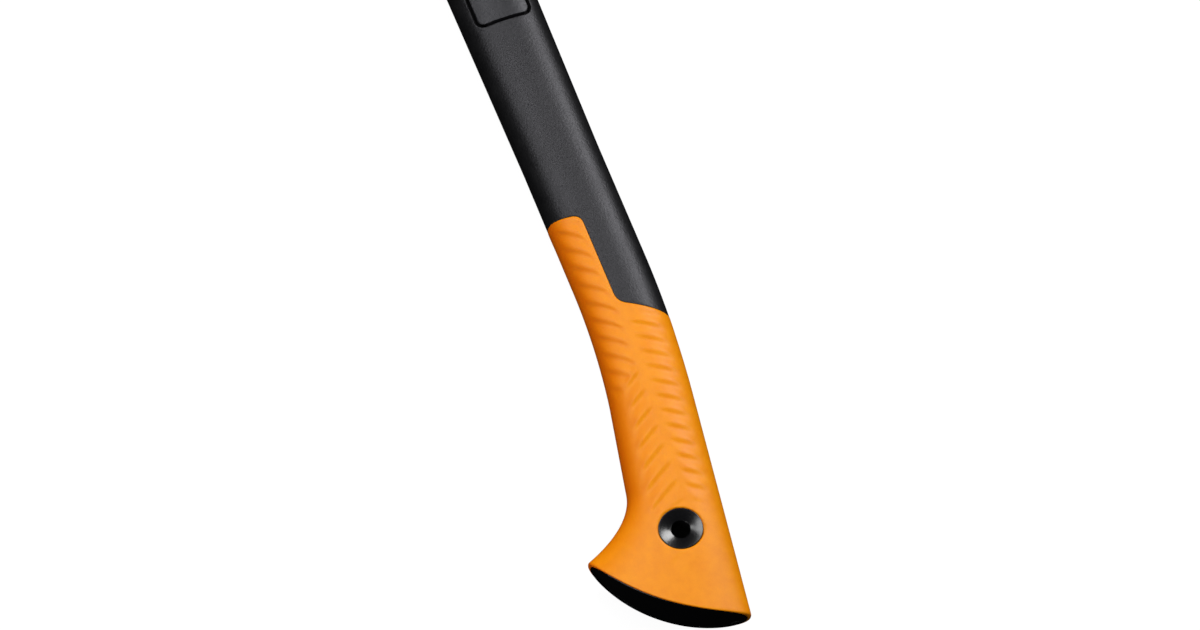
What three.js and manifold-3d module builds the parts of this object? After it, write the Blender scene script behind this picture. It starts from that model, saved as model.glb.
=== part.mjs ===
// A felling axe: a forged steel head, a hollow glass-fibre handle moulded round the
// head's waist, a soft grip moulded over the lower handle, a cap that closes the butt,
// a two-part hanging eyelet, and a label plate in each side of the handle.
//
// Millimetres. +X runs up the handle to the head, +Y is the way the cutting edge faces,
// +Z is the side that faces up when the axe lies flat. The drawing's zero is the centre
// of the eyelet. The exported group is shifted so that its own zero is the middle of the
// axe's footprint, on the surface that it lies on.

import * as THREE from "three";
import { mergeVertices } from "three/addons/utils/BufferGeometryUtils.js";
import Module from "manifold-3d";

const wasm = await Module();
wasm.setup();

// ---------------------------------------------------------------- driving dimensions

const gap = 0.3; // clearance left between pieces that touch
const far = 400; // reach of a cutting solid, past everything it cuts

const shaft = {
  axisY: -17.8, // centre line of the straight shaft
  halfWidth: 19,
  taperFrom: 205, // it widens a little between these two heights
  taperTo: 340,
  taper: 0.0125, // half width gained for each mm
  halfThick: 12.4,
  roundness: 2.5, // exponent of the section: 2 is an ellipse, more is squarer
};
const bend = {
  front: { top: 138, end: 66, slope: 0.192 },
  back: { top: 143, end: 66, slope: 0.134 },
};
const knob = {
  top: 75, // where the sections start to fan out to the slanted butt
  throat: new THREE.Vector2(31, 15),
  throatPull: new THREE.Vector2(13.2, 18),
  toe: new THREE.Vector2(2.6, 44.8),
  heelX: -48.2,
  bulge: 9.4, // how far the butt bows out along its length
  halfThick: 12,
  roundness: 2.3,
};
const grip = {
  thick: 2.2,
  frontTop: 171.4, // the tongue up the front edge
  sideTop: 168, // the same, where the tongue's side begins
  tongueEdgeY: -13.9,
  backTop: 119.3, // where the slanted back edge leaves the tongue
  backEnd: 107,
  corner: 4.5,
};
const wall = { shaft: 4.2, grip: 3.4 }; // thickness of the hollow handle's wall
const hollowTop = 500;
const cap = {
  flange: 3.2,
  spigotDepth: 9,
  spigotWall: 2,
  dome: 3.8,
  domeRoundness: 2.8,
};
const eyelet = {
  holeRadius: 4.4,
  barrelRadius: 6.2,
  sleeveRadius: 5.1, // the thin barrel that slides into the other half
  flangeRadius: 10.2,
  rimWidth: 0.5,
  dish: 0.9, // depth of the shallow cone
  height: 12, // of the rim above the middle plane
};
const label = {
  from: 280.3,
  to: 462,
  halfWidth: 13.5,
  corner: 4.4,
  groove: 1.1, // gap round the plate
  thick: 1.6,
};
const collar = {
  from: 505, // the neck swells from here
  full: 540,
  top: 609,
  halfWidth: 26,
  halfThick: 17,
  flat: 16, // the sides are flat this far from the middle plane
  roundness: 4.6,
  crown: 7, // rounding of the top end
};
const head = {
  middleX: 572,
  waistHalfHeight: 28,
  waistHalfThick: 9.5,
  shoulderY: 8.4, // front face of the waist, where the blade starts
  bladeHalfHeight: 31,
  bladeHalfThick: 12.5,
  pollY: -66,
  pollShoulderY: -44.4,
  pollHalfHeight: 30,
  pollHalfThick: 14.5,
  edgeY: 95, // at the corners of the cutting edge
  edgeBow: 11,
  edgeHalfLength: 56,
  edgeDropX: -9, // the edge's middle lies this far below the head's
  bevel: 13,
  bevelHalfThick: 1.9,
  edgeHalfThick: 0.15,
  keyHoles: [-15, 15],
  keyRadius: 5,
};
const segments = { handle: 36, head: 32, eyelet: 40 };

const colours = {
  steel: new THREE.MeshStandardMaterial({
    color: 0x2b2c2e,
    roughness: 0.42,
    metalness: 0.8,
  }),
  composite: new THREE.MeshStandardMaterial({
    color: 0x2c2c2e,
    roughness: 0.55,
    metalness: 0,
  }),
  softGrip: new THREE.MeshStandardMaterial({
    color: 0xf68c14,
    roughness: 0.6,
    metalness: 0,
  }),
  glossBlack: new THREE.MeshStandardMaterial({
    color: 0x0c0c0d,
    roughness: 0.2,
    metalness: 0,
  }),
  labelPlate: new THREE.MeshStandardMaterial({
    color: 0x35363a,
    roughness: 0.5,
    metalness: 0,
  }),
};

// ---------------------------------------------------------------- solids

// A closed geometry as a manifold-3d solid.
function solid(geometry) {
  const bare = geometry.clone();
  bare.deleteAttribute("normal");
  bare.deleteAttribute("uv");
  const merged = mergeVertices(bare, 1e-4);
  return new wasm.Manifold(
    new wasm.Mesh({
      numProp: 3,
      vertProperties: merged.attributes.position.array,
      triVerts: new Uint32Array(merged.index.array),
    }),
  );
}

function geometryOf(made) {
  const mesh = made.getMesh();
  const positions = new Float32Array(mesh.numVert * 3);
  for (let i = 0; i < mesh.numVert; i++) {
    positions.set(
      mesh.vertProperties.subarray(i * mesh.numProp, i * mesh.numProp + 3),
      i * 3,
    );
  }
  const geometry = new THREE.BufferGeometry();
  geometry.setAttribute("position", new THREE.BufferAttribute(positions, 3));
  geometry.setIndex(new THREE.BufferAttribute(mesh.triVerts, 1));
  geometry.computeVertexNormals();
  return geometry;
}

// A closed body through a row of rings, each ring an array of points in the same order.
function loft(rings) {
  const count = rings[0].length;
  const points = rings.flat();
  const centre = (ring) =>
    ring
      .reduce((sum, p) => sum.add(p), new THREE.Vector3())
      .divideScalar(ring.length);
  const firstCentre = points.length;
  points.push(centre(rings[0]), centre(rings[rings.length - 1]));
  const index = [];
  for (let r = 0; r + 1 < rings.length; r++) {
    for (let k = 0; k < count; k++) {
      const next = (k + 1) % count;
      const a = r * count + k;
      const b = r * count + next;
      index.push(a, b, b + count, a, b + count, a + count);
    }
  }
  const last = (rings.length - 1) * count;
  for (let k = 0; k < count; k++) {
    const next = (k + 1) % count;
    index.push(firstCentre, next, k);
    index.push(firstCentre + 1, last + k, last + next);
  }
  const geometry = new THREE.BufferGeometry().setFromPoints(points);
  geometry.setIndex(index);
  return solid(geometry);
}

// A flat outline pushed through from z = low to z = high.
function prism(shape, low, high, curveSegments = 8) {
  const geometry = new THREE.ExtrudeGeometry(shape, {
    depth: high - low,
    bevelEnabled: false,
    curveSegments,
  });
  geometry.translate(0, 0, low);
  return solid(geometry);
}

function box(lowX, highX, lowY, highY, lowZ, highZ) {
  const geometry = new THREE.BoxGeometry(
    highX - lowX,
    highY - lowY,
    highZ - lowZ,
  );
  geometry.translate(
    (lowX + highX) / 2,
    (lowY + highY) / 2,
    (lowZ + highZ) / 2,
  );
  return solid(geometry);
}

// A ring or tube about the eyelet's axis, from its profile of [radius, height] points.
function turned(profile) {
  const points = [...profile, profile[0]].map(
    ([r, z]) => new THREE.Vector2(r, z),
  );
  const geometry = new THREE.LatheGeometry(points, segments.eyelet);
  geometry.rotateX(Math.PI / 2);
  const made = solid(geometry);
  return made.volume() > 0 ? made : solid(geometry.scale(1, 1, -1));
}

function rod(x, y, radius, low, high) {
  const geometry = new THREE.CylinderGeometry(
    radius,
    radius,
    high - low,
    segments.eyelet,
  );
  geometry.rotateX(Math.PI / 2);
  geometry.translate(x, y, (low + high) / 2);
  return solid(geometry);
}

// A rectangle with round corners, from corner (x0, y0) to corner (x1, y1).
function roundedRectangle(x0, y0, x1, y1, radius) {
  const quarter = Math.PI / 2;
  const shape = new THREE.Shape();
  shape.absarc(x1 - radius, y1 - radius, radius, 0, quarter, false);
  shape.absarc(x0 + radius, y1 - radius, radius, quarter, 2 * quarter, false);
  shape.absarc(x0 + radius, y0 + radius, radius, 2 * quarter, 3 * quarter, false);
  shape.absarc(x1 - radius, y0 + radius, radius, 3 * quarter, 4 * quarter, false);
  return shape;
}

// ---------------------------------------------------------------- the handle's form

const mix = THREE.MathUtils.lerp;
const ease = THREE.MathUtils.smoothstep;

// How far an edge has bent off its straight line at x.
function bent(x, { top, end, slope }) {
  if (x >= top) return 0;
  if (x >= end) return (slope * (top - x) ** 2) / (2 * (top - end));
  return slope * ((top - end) / 2 + end - x);
}

function halfWidth(x) {
  const along = THREE.MathUtils.clamp(x, shaft.taperFrom, shaft.taperTo);
  const tapered = shaft.halfWidth + shaft.taper * (along - shaft.taperFrom);
  return mix(tapered, collar.halfWidth, ease(x, collar.from, collar.full));
}

const frontY = (x) => shaft.axisY + halfWidth(x) + bent(x, bend.front);
const backY = (x) => shaft.axisY - halfWidth(x) + bent(x, bend.back);

// The front edge of the knob, from the toe round the throat to the grip.
const knobFront = new THREE.CurvePath();
knobFront.add(
  new THREE.QuadraticBezierCurve(knob.toe, knob.throatPull, knob.throat),
);
knobFront.add(
  new THREE.LineCurve(
    knob.throat,
    new THREE.Vector2(knob.top, frontY(knob.top)),
  ),
);

// A section is a pair of points on the front and back edges, with its thickness. In the
// knob share runs from 0 at the butt to 1 at its top; above that x places the section.
function knobSection(share) {
  const front = knobFront.getPoint(share);
  const backX = mix(knob.heelX, knob.top, share);
  return {
    front,
    back: new THREE.Vector2(backX, backY(backX)),
    halfThick: mix(knob.halfThick, shaft.halfThick, ease(share, 0, 1)),
    roundness: mix(knob.roundness, shaft.roundness, ease(share, 0, 0.3)),
    bulge: knob.bulge * (1 - share) ** 2,
  };
}

function shaftSection(x) {
  const swell = ease(x, collar.from, collar.full);
  return {
    front: new THREE.Vector2(x, frontY(x)),
    back: new THREE.Vector2(x, backY(x)),
    halfThick: mix(shaft.halfThick, collar.halfThick, swell),
    roundness: mix(shaft.roundness, collar.roundness, swell),
    bulge: 0,
  };
}

// The ring of points of a section, moved in by inset, shrunk about its middle by scale
// and pushed out of the butt by push.
function ring(section, inset = 0, scale = 1, push = 0) {
  const across = section.front.clone().sub(section.back);
  const half = (across.length() / 2 - inset) * scale;
  across.normalize();
  const outward = new THREE.Vector2(-across.y, across.x);
  const middle = section.front.clone().add(section.back).multiplyScalar(0.5);
  const thick = (section.halfThick - inset) * scale;
  const power = 2 / section.roundness;
  const points = [];
  for (let k = 0; k < segments.handle; k++) {
    const angle = (2 * Math.PI * k) / segments.handle;
    const c = Math.cos(angle);
    const s = Math.sin(angle);
    const w = Math.sign(c) * Math.abs(c) ** power;
    const z = Math.sign(s) * Math.abs(s) ** power * thick;
    const out = section.bulge * (1 - (w * scale) ** 2) + push;
    points.push(
      new THREE.Vector3(
        middle.x + across.x * w * half + outward.x * out,
        middle.y + across.y * w * half + outward.y * out,
        z,
      ),
    );
  }
  return points;
}

// Rings from the butt up to x = top. insetAt gives the inset at a height x, and push
// starts the body that far outside the butt.
function handleRings(insetAt, top, fromShare = 0, push = 0) {
  const rings = [];
  const knobSteps = 14;
  if (push) rings.push(ring(knobSection(0), insetAt(0), 1, push));
  for (let i = 0; i <= knobSteps; i++) {
    const share = mix(fromShare, 1, i / knobSteps);
    rings.push(ring(knobSection(share), insetAt(0)));
  }
  const heights = [90, 106, 122, 138, 165, 205, 250, 295, 340, 400, 460];
  for (let x = collar.from - 20; x <= collar.full; x += 8) heights.push(x);
  for (const x of heights) {
    if (x < top) rings.push(ring(shaftSection(x), insetAt(x)));
  }
  return rings;
}

const outerRings = handleRings(() => 0, collar.full + 1);
const crownFrom = collar.top - collar.crown;
for (let i = 0; i <= 5; i++) {
  const angle = (i / 5) * (Math.PI / 2) * 0.92;
  const x = crownFrom + collar.crown * Math.sin(angle);
  outerRings.push(
    ring(shaftSection(x), collar.crown * (1 - Math.cos(angle))),
  );
}
const outer = loft(outerRings).intersect(
  box(-far, 2 * far, -far, far, -collar.flat, collar.flat),
);

// The knob's solid with its skin taken off, starting a little way in from the butt.
const knobLength = knob.top - knob.heelX;
const seatShare = (cap.flange + gap) / knobLength;
const skinned = (inset, top, fromShare, push) =>
  loft([
    ...handleRings(() => inset, top, fromShare, push),
    ring(shaftSection(top), inset),
  ]);

// ---------------------------------------------------------------- the soft grip

// The area that the grip covers, seen from the side, grown by extra: a tongue up the
// front edge, and a slanted line from its foot to the back edge.
function gripArea(extra) {
  const r = grip.corner;
  const frontY0 = shaft.axisY + shaft.halfWidth;
  const edge = grip.tongueEdgeY - extra;
  const top = grip.sideTop + extra;
  const foot = grip.backTop + extra;
  const rise = (grip.frontTop - grip.sideTop) / (frontY0 - grip.tongueEdgeY);
  const slant = (grip.backTop - grip.backEnd) / (grip.tongueEdgeY - backY(grip.backEnd));
  const beyond = 60;
  const shape = new THREE.Shape();
  shape.moveTo(-far, edge + beyond);
  shape.lineTo(top + rise * beyond, edge + beyond);
  shape.lineTo(top + rise * r, edge + r);
  shape.quadraticCurveTo(top, edge, top - r, edge);
  shape.lineTo(foot + r, edge);
  shape.quadraticCurveTo(foot, edge, foot - slant * r, edge - r);
  shape.lineTo(foot - slant * beyond, edge - beyond);
  shape.lineTo(-far, edge - beyond);
  return shape;
}

const gripZone = prism(gripArea(0), -far, far);
const gripSeat = prism(gripArea(gap), -far, far);
const flangeHole = rod(0, 0, eyelet.flangeRadius + gap, -far, far);
const underGrip = skinned(grip.thick, grip.frontTop + 40, 0, 20);
const softGrip = outer
  .intersect(gripZone)
  .subtract(underGrip)
  .subtract(flangeHole);

// ---------------------------------------------------------------- the head

// Half height and middle of the head's side view, and its half thickness, at y.
function headSection(y, grow) {
  const h = head;
  if (y <= h.pollShoulderY) {
    return { x: h.middleX, height: h.pollHalfHeight, thick: h.pollHalfThick };
  }
  if (y < h.shoulderY) {
    return {
      x: h.middleX,
      height: h.waistHalfHeight + grow,
      thick: h.waistHalfThick + grow,
    };
  }
  const share = (y - h.shoulderY) / (h.edgeY - h.shoulderY);
  const toBevel = (y - h.shoulderY) / (h.edgeY - h.bevel - h.shoulderY);
  const thick =
    toBevel < 1
      ? mix(h.bladeHalfThick, h.bevelHalfThick, toBevel ** 0.85)
      : mix(h.bevelHalfThick, h.edgeHalfThick, (y - h.edgeY + h.bevel) / h.bevel);
  return {
    x: h.middleX + h.edgeDropX * share ** 1.6,
    height: mix(h.bladeHalfHeight, h.edgeHalfLength, share ** 1.7),
    thick,
  };
}

function headRing(y, section, roundness, bow) {
  const power = 2 / roundness;
  const points = [];
  for (let k = 0; k < segments.head; k++) {
    const angle = (2 * Math.PI * k) / segments.head;
    const c = Math.cos(angle);
    const s = Math.sin(angle);
    const w = Math.sign(s) * Math.abs(s) ** power;
    const z = Math.sign(c) * Math.abs(c) ** power;
    points.push(
      new THREE.Vector3(
        section.x + w * section.height,
        y + bow * (1 - w * w),
        z * section.thick,
      ),
    );
  }
  return points;
}

// The steel head; grow widens only its waist, to cut the seat for it.
function headBody(grow) {
  const h = head;
  const square = 9;
  const rings = [];
  const poll = headSection(h.pollY, 0);
  const chamfer = 1.5;
  const trimmed = {
    ...poll,
    height: poll.height - chamfer,
    thick: poll.thick - chamfer,
  };
  rings.push(headRing(h.pollY, trimmed, square, 0));
  rings.push(headRing(h.pollY + chamfer, poll, square, 0));
  rings.push(headRing(h.pollShoulderY - grow, poll, square, 0));
  const waist = headSection(0, grow);
  rings.push(headRing(h.pollShoulderY - grow, waist, square, 0));
  rings.push(headRing(h.shoulderY + grow, waist, square, 0));
  const steps = 9;
  for (let i = 0; i <= steps; i++) {
    const share = (i / steps) ** 0.9;
    const y = mix(h.shoulderY, h.edgeY - h.bevel, share);
    const place = i ? y : y + grow;
    rings.push(
      headRing(place, headSection(y, 0), mix(square, 3, share), h.edgeBow * share ** 2),
    );
  }
  rings.push(headRing(h.edgeY, headSection(h.edgeY, 0), 3, h.edgeBow));
  const body = loft(rings);
  return body.volume() > 0 ? body : body.mirror([0, 0, 1]);
}

const keyHole = (x, radius) =>
  rod(head.middleX + x, shaft.axisY, radius, -far, far);
let axeHead = headBody(0);
for (const x of head.keyHoles) {
  axeHead = axeHead.subtract(keyHole(x, head.keyRadius));
}
let headSeat = headBody(gap);
for (const x of head.keyHoles) {
  headSeat = headSeat.subtract(keyHole(x, head.keyRadius - gap));
}

// ---------------------------------------------------------------- label plates

const plateArea = (grow) =>
  roundedRectangle(
    label.from - grow,
    shaft.axisY - label.halfWidth - grow,
    label.to + grow,
    shaft.axisY + label.halfWidth + grow,
    label.corner + grow,
  );
const underPlate = (depth) =>
  loft(
    [label.from - 20, label.from + 40, label.to - 40, label.to + 20].map((x) =>
      ring(shaftSection(x), depth),
    ),
  );
const labelPlate = (low, high) =>
  prism(plateArea(-label.groove / 2), low, high)
    .intersect(outer)
    .subtract(underPlate(label.thick));
const pockets = prism(plateArea(label.groove / 2), -far, far).subtract(
  underPlate(label.thick + gap),
);

// ---------------------------------------------------------------- the hollow handle

const insetInside = (x) =>
  mix(
    grip.thick + gap + wall.grip,
    wall.shaft,
    ease(x, grip.frontTop, grip.frontTop + 60),
  );
const hollow = loft([
  ...handleRings(insetInside, hollowTop, 0, 20),
  ring(shaftSection(hollowTop), insetInside(hollowTop)),
]);
const barrelHole = rod(0, 0, eyelet.barrelRadius + gap, -far, far);
const core = skinned(grip.thick + gap, grip.frontTop + 20, 0, 0);
const capSeat = loft([
  ring(knobSection(0), -2, 1, 20),
  ring(knobSection(seatShare), -2),
  ring(knobSection(seatShare), insetInside(0) + 1),
]);
const handleShell = outer
  .subtract(gripSeat)
  .add(core)
  .subtract(capSeat)
  .subtract(hollow)
  .subtract(pockets)
  .subtract(headSeat)
  .subtract(barrelHole);

// ---------------------------------------------------------------- the butt cap

const capInset = grip.thick + gap;
const spigotInset = insetInside(0) + 2 * gap;
const spigotShare = cap.spigotDepth / knobLength;
const flangeShare = cap.flange / knobLength;
const domeRings = [];
for (const angle of [8, 18, 32, 50, 70]) {
  const turn = THREE.MathUtils.degToRad(angle);
  const power = 2 / cap.domeRoundness;
  const scale = Math.cos(turn) ** power;
  const push = cap.dome * Math.sin(turn) ** power;
  domeRings.push(ring(knobSection(0), capInset, scale, push));
}
const capBody = loft([
  ring(knobSection(spigotShare), spigotInset),
  ring(knobSection(flangeShare), spigotInset),
  ring(knobSection(flangeShare), capInset),
  ring(knobSection(0), capInset),
  ...domeRings,
].reverse());
const capHollow = loft([
  ring(knobSection(spigotShare + 0.02), spigotInset + cap.spigotWall),
  ring(knobSection(flangeShare), spigotInset + cap.spigotWall),
].reverse());
const buttCap = capBody.subtract(capHollow);

// ---------------------------------------------------------------- the eyelet

// Each half has a shallow dished flange in the grip's hole, resting on the handle.
const e = eyelet;
const flangeBottom = knob.halfThick - grip.thick;
const flange = [
  [e.holeRadius, e.height - e.dish],
  [e.flangeRadius - e.rimWidth, e.height],
  [e.flangeRadius, e.height - e.rimWidth / 2],
  [e.flangeRadius, flangeBottom + gap],
  [e.barrelRadius, flangeBottom + gap],
];
const overlap = 3; // how far the halves reach past the middle plane
const eyeletFront = turned([
  ...flange,
  [e.barrelRadius, -overlap],
  [e.sleeveRadius + gap, -overlap],
  [e.sleeveRadius + gap, overlap + gap],
  [e.holeRadius, overlap + gap],
]);
const eyeletBack = turned([
  ...flange,
  [e.barrelRadius, overlap + gap],
  [e.sleeveRadius, overlap + gap],
  [e.sleeveRadius, -overlap],
  [e.holeRadius, -overlap],
]).mirror([0, 0, 1]);

// ---------------------------------------------------------------- the assembly

const axe = new THREE.Group();
axe.name = "felling_axe";

function addPiece(name, made, material) {
  const mesh = new THREE.Mesh(geometryOf(made), material);
  mesh.name = name;
  axe.add(mesh);
}

addPiece("axe_head", axeHead, colours.steel);
addPiece("handle_shell", handleShell, colours.composite);
addPiece("soft_grip", softGrip, colours.softGrip);
addPiece("butt_cap", buttCap, colours.glossBlack);
addPiece("eyelet_front", eyeletFront, colours.glossBlack);
addPiece("eyelet_back", eyeletBack, colours.glossBlack);
addPiece("label_plate_front", labelPlate(0, far), colours.labelPlate);
addPiece("label_plate_back", labelPlate(-far, 0), colours.labelPlate);

const bounds = new THREE.Box3().setFromObject(axe, true);
const middle = bounds.getCenter(new THREE.Vector3());
axe.position.set(-middle.x, -middle.y, -bounds.min.z);

export default axe;
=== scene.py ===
import bpy
import math
import numpy as np
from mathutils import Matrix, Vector


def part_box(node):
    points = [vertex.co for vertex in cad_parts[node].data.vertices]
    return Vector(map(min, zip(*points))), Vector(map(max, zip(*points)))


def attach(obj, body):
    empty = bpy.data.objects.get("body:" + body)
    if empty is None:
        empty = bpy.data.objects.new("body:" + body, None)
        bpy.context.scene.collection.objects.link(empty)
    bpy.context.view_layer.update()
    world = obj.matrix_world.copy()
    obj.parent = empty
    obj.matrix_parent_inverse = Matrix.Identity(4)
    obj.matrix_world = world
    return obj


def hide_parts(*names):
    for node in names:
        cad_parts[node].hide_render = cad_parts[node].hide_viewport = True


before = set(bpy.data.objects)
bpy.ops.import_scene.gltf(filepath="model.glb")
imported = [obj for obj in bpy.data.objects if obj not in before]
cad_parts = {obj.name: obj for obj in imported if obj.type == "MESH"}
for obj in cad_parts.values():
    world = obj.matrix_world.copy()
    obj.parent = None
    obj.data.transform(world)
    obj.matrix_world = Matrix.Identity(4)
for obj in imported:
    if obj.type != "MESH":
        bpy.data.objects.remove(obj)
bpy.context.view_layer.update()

# The axe lies on its side: +X up the handle, +Y the cutting edge's way, +Z up.
# Sizes are in millimetres from the middle of the eyelet, and turned to metres at the end.
eyeLow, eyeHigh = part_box("eyelet_front")
shellLow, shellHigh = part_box("handle_shell")
zero = np.array([
    (eyeLow.x + eyeHigh.x) / 2,
    (eyeLow.y + eyeHigh.y) / 2,
    (shellLow.z + shellHigh.z) / 2,
])


def metres(points):
    return np.asarray(points) / 1000 + zero


# small tools for shapes

def smooth(low, high, x):
    t = np.clip((x - low) / (high - low), 0, 1)
    return t * t * (3 - 2 * t)


def window(low, high, soft, x):
    return smooth(low, low + soft, x) * (1 - smooth(high - soft, high, x))


def graded(low, high, coarse, fine):
    # steps from low to high, shorter inside the stretches of fine: (from, to, step)
    stops = [low]
    while stops[-1] < high:
        x = stops[-1]
        step = coarse
        for start, end, small in fine:
            if start - coarse < x < end:
                step = min(step, max(small, start - x))
        stops.append(x + step)
    return np.array(stops[:-1] + [high])


def quarterRound(depthIn, radius):
    # how far a surface has dropped at depthIn from a rounded edge
    t = np.clip(1 - depthIn / radius, 0, 1)
    return radius * (1 - np.sqrt(1 - t * t))


def polylineDistance(x, y, line):
    # signed distance to an open line of points, positive on its left
    flat = np.stack([x.ravel(), y.ravel()], 1)
    best = np.full(len(flat), 1e9)
    side = np.ones(len(flat))
    for a, b in zip(line[:-1], line[1:]):
        run = b - a
        rel = flat - a
        t = np.clip(rel @ run / (run @ run), 0, 1)
        gone = np.linalg.norm(rel - t[:, None] * run, axis=1)
        near = gone < best - 1e-9
        best[near] = gone[near]
        side[near] = np.sign(run[0] * rel[near, 1] - run[1] * rel[near, 0])
    return (best * np.where(side == 0, 1, side)).reshape(x.shape)


def roundRectDistance(x, y, middle, half, corner):
    # signed distance to a rectangle with round corners, positive inside
    dx = np.abs(x - middle[0]) - half[0] + corner
    dy = np.abs(y - middle[1]) - half[1] + corner
    outside = np.hypot(np.maximum(dx, 0), np.maximum(dy, 0))
    return corner - outside - np.minimum(np.maximum(dx, dy), 0)


# the handle's form

shaft = {
    "axisY": -17.8, "halfWidth": 19.0, "halfThick": 12.4, "roundness": 2.5,
    "taperFrom": 205, "taperTo": 340, "taper": 0.0125,
}
bend = {"front": (138, 66, 0.192), "back": (143, 66, 0.134)}
knob = {
    "top": 75, "throat": (31, 15), "throatPull": (13.2, 18), "toe": (2.6, 44.8),
    "heelX": -48.2, "bulge": 9.4, "halfThick": 12.0, "roundness": 2.3,
    "cornerWide": 1.5, "cornerLong": 2.0,
}
collar = {
    "from": 505, "full": 540, "top": 609, "halfWidth": 26, "halfThick": 17,
    "flat": 16, "flatEase": 0.35, "roundness": 4.6, "crown": 7, "crownTurn": 1.445,
}
grip = {
    "thick": 2.2, "frontTop": 171.4, "sideTop": 168.0,
    "tongueEdgeY": -13.9, "tongueWidth": 15.1,
    "backTop": 119.3, "backEnd": 107.0, "corner": 4.5, "proud": 0.1,
    "edgeRound": 0.45, "holeRound": 0.35, "lip": 0.55, "lipRound": 0.4, "lipTaper": 3.0,
    "holeGap": 0.2, "seatGap": 0.06, "under": 0.1,
}
label = {
    "from": 280.5, "to": 462, "halfWidth": 13.55, "corner": 4.4,
    "groove": 1.65, "thick": 3.2, "deep": 3.5,
}
eyelet = {
    "holeRadius": 4.4, "barrelRadius": 6.2, "sleeveRadius": 5.1, "flangeRadius": 10.2,
    "dish": 1.25, "height": 12, "overlap": 3, "lipRound": 0.25, "rimRound": 0.35, "gap": 0.3,
}


def bent(x, edge):
    top, end, slope = bend[edge]
    curve = slope * np.maximum(top - x, 0) ** 2 / (2 * (top - end))
    return np.where(x >= end, curve, slope * ((top - end) / 2 + end - x))


def halfWidth(x):
    along = np.clip(x, shaft["taperFrom"], shaft["taperTo"]) - shaft["taperFrom"]
    tapered = shaft["halfWidth"] + shaft["taper"] * along
    swell = smooth(collar["from"], collar["full"], x)
    return tapered + (collar["halfWidth"] - tapered) * swell


def frontEdge(x):
    return shaft["axisY"] + halfWidth(x) + bent(x, "front")


def backEdge(x):
    return shaft["axisY"] - halfWidth(x) + bent(x, "back")


def knobFrontLine():
    # the front edge of the knob from the toe up, as points at even shares of each stretch
    t = np.linspace(0, 1, 400)[:, None]
    toe, pull, throat = (np.array(knob[k], float) for k in ("toe", "throatPull", "throat"))
    curve = (1 - t) ** 2 * toe + 2 * t * (1 - t) * pull + t * t * throat
    top = np.array([knob["top"], float(frontEdge(np.array(knob["top"])))])
    line = throat + t[1:] * (top - throat)
    points = np.concatenate([curve, line])
    run = np.concatenate([[0], np.cumsum(np.linalg.norm(np.diff(points, axis=0), axis=1))])
    return run / run[-1], points


knobShare, knobPoints = knobFrontLine()


def sectionAt(u):
    # u is the place up the back edge; in the knob the sections fan out towards the butt
    share = np.clip((u - knob["heelX"]) / (knob["top"] - knob["heelX"]), 0, 1)
    inKnob = u < knob["top"]
    swell = smooth(collar["from"], collar["full"], u)
    crownFrom = collar["top"] - collar["crown"]
    crown = np.clip((u - crownFrom) / collar["crown"], 0, collar["crownTurn"])
    x = np.where(crown > 0, crownFrom + collar["crown"] * np.sin(crown), u)
    frontX = np.where(inKnob, np.interp(share, knobShare, knobPoints[:, 0]), x)
    frontY = np.where(inKnob, np.interp(share, knobShare, knobPoints[:, 1]), frontEdge(x))
    thickKnob = knob["halfThick"] + (shaft["halfThick"] - knob["halfThick"]) * smooth(0, 1, share)
    thickShaft = shaft["halfThick"] + (collar["halfThick"] - shaft["halfThick"]) * swell
    roundKnob = knob["roundness"] + (shaft["roundness"] - knob["roundness"]) * smooth(0, 0.3, share)
    roundShaft = shaft["roundness"] + (collar["roundness"] - shaft["roundness"]) * swell
    return {
        "front": (frontX, frontY),
        "back": (x, backEdge(x)),
        "thick": np.where(inKnob, thickKnob, thickShaft),
        "roundness": np.where(inKnob, roundKnob, roundShaft),
        "bulge": knob["bulge"] * (1 - share) ** 2,
        "inset": collar["crown"] * (1 - np.cos(crown)),
        "corner": quarterRound((u - knob["heelX"]) / knob["cornerLong"], 1) * knob["cornerWide"],
    }


def surface(u, turn, inset=0.0, scale=1.0, push=0.0):
    # the handle's outer skin: turn is the angle round the section, from the front edge
    s = sectionAt(u)
    fx, fy = s["front"]
    bx, by = s["back"]
    length = np.hypot(fx - bx, fy - by)
    ax, ay = (fx - bx) / length, (fy - by) / length
    n = s["roundness"]
    c, d = np.cos(turn), np.sin(turn)
    reach = (np.abs(c) ** n + np.abs(d) ** n) ** (1 / n)
    w, h = c / reach, d / reach
    taken = s["inset"] + inset
    half = (length / 2 - taken - s["corner"]) * scale
    spread = 1 - s["corner"] / (length / 2)
    z = h * (s["thick"] - taken) * scale
    over = (np.abs(z) - collar["flat"]) / collar["flatEase"]
    z = np.sign(z) * (np.abs(z) - collar["flatEase"] * np.logaddexp(0, over))
    out = s["bulge"] * (1 - (w * scale * spread) ** 2) + push
    return np.stack([
        (fx + bx) / 2 + ax * w * half - ay * out,
        (fy + by) / 2 + ay * w * half + ax * out,
        z,
    ], -1)


def gripDepth(u):
    # the grip's thickness, running out to a thin lip at its mouth
    full = smooth(0, grip["lipTaper"], u - knob["heelX"])
    return grip["lip"] + (grip["thick"] - grip["lip"]) * full


def skinNormal(u, turn, inset=0.0):
    along = surface(u + 0.05, turn, inset) - surface(u - 0.05, turn, inset)
    around = surface(u, turn + 1e-3, inset) - surface(u, turn - 1e-3, inset)
    n = np.cross(around, along)
    return n / np.linalg.norm(n, axis=-1, keepdims=True)


def panelOutline(grow):
    # the label's outline, grown by so much: its middle, half sizes and corner
    middle = ((label["from"] + label["to"]) / 2, shaft["axisY"])
    half = ((label["to"] - label["from"]) / 2 + grow, label["halfWidth"] + grow)
    return middle, half, label["corner"] + grow


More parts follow.
